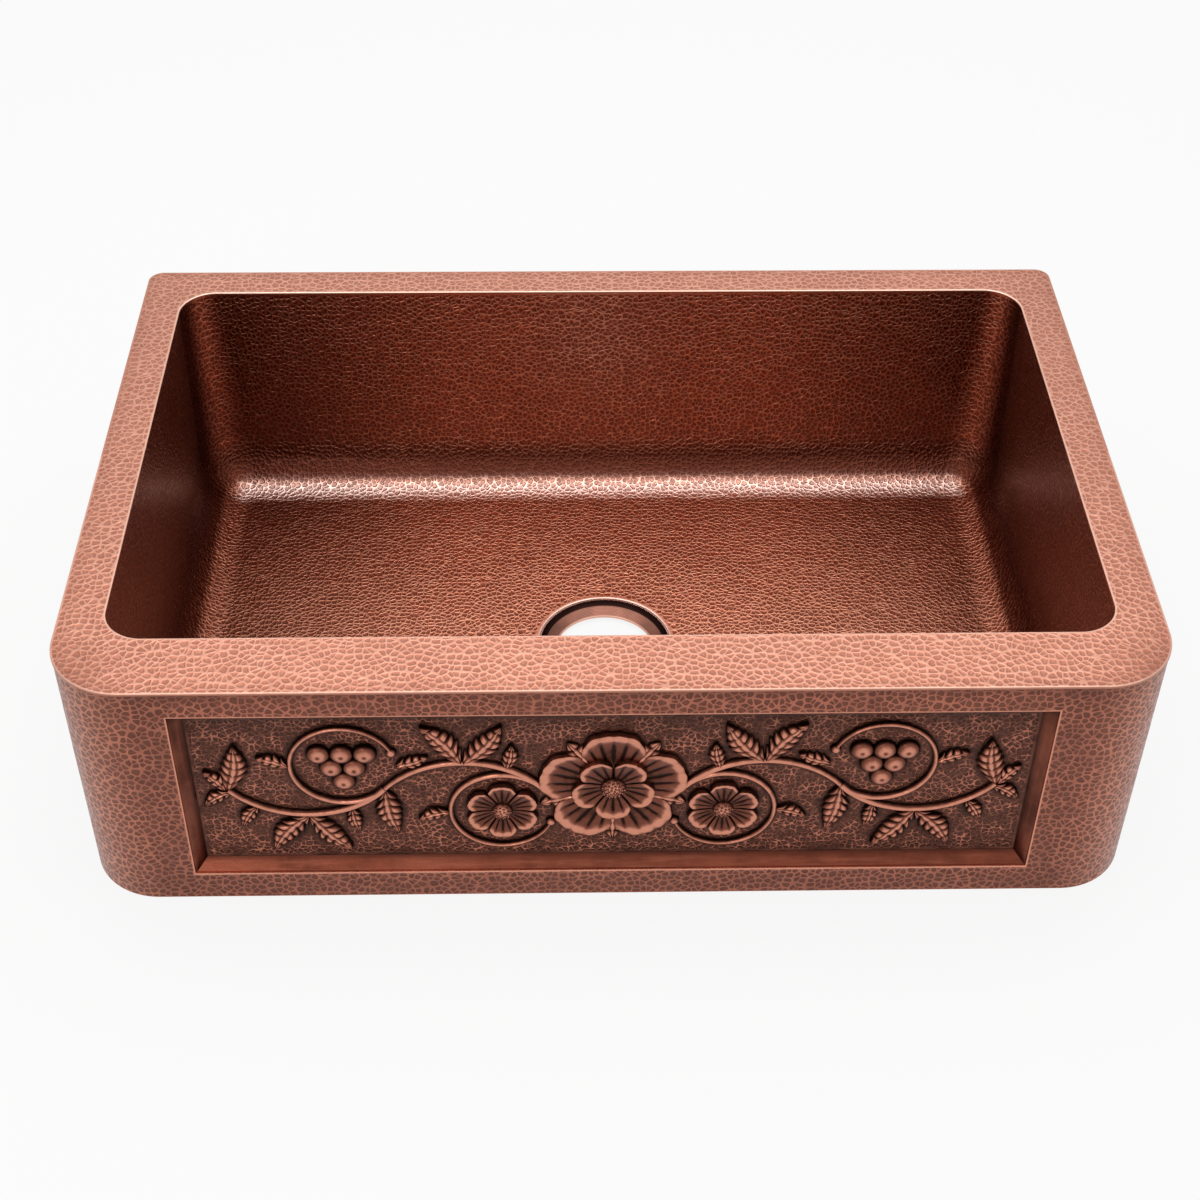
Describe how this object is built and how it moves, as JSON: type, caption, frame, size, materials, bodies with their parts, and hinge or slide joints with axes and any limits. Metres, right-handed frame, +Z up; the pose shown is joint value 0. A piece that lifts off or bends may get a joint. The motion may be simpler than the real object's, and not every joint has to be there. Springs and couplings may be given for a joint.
{
  "type": "farmhouse sink",
  "caption": "Single-bowl farmhouse kitchen sink in hammered copper sheet, with a rounded apron front, a recessed floral relief panel and a centred drain opening.",
  "frame": {"origin": "middle of the base, on the surface that the sink stands on", "axes": "+X to the right as seen from the front, +Y from the apron towards the wall, +Z up"},
  "size_m": [0.8382, 0.5588, 0.2286],
  "materials": {
    "bowl_copper": "hammered, dark red-brown patina",
    "rim_copper": "hammered, patina worn bright on the ridges",
    "apron_copper": "hammered, brown patina with copper ridges",
    "relief_copper": "chased relief, rubbed copper over a dark ground",
    "smooth_copper": "smooth, brown patina",
    "plain_copper": "plain sheet and strip, oxidised"
  },
  "bodies": {
    "root": {"apron_front": "apron_copper", "back_braces": "plain_copper", "back_flange": "apron_copper", "bowl_floor": "bowl_copper", "bowl_wall_back": "bowl_copper", "bowl_wall_front": "bowl_copper", "bowl_wall_left": "bowl_copper", "bowl_wall_right": "bowl_copper", "drain_seat": "smooth_copper", "foot_rail_back": "plain_copper", "foot_rail_front": "plain_copper", "foot_rail_left": "plain_copper", "foot_rail_right": "plain_copper", "front_braces": "plain_copper", "left_braces": "plain_copper", "relief_panel": "relief_copper", "reveal_bottom": "smooth_copper", "reveal_left": "smooth_copper", "reveal_right": "smooth_copper", "reveal_top": "smooth_copper", "right_braces": "plain_copper", "rim_back": "rim_copper", "rim_front": "rim_copper", "rim_left": "rim_copper", "rim_right": "rim_copper", "side_skirt_left": "apron_copper", "side_skirt_right": "apron_copper"}
  },
  "joints": []
}
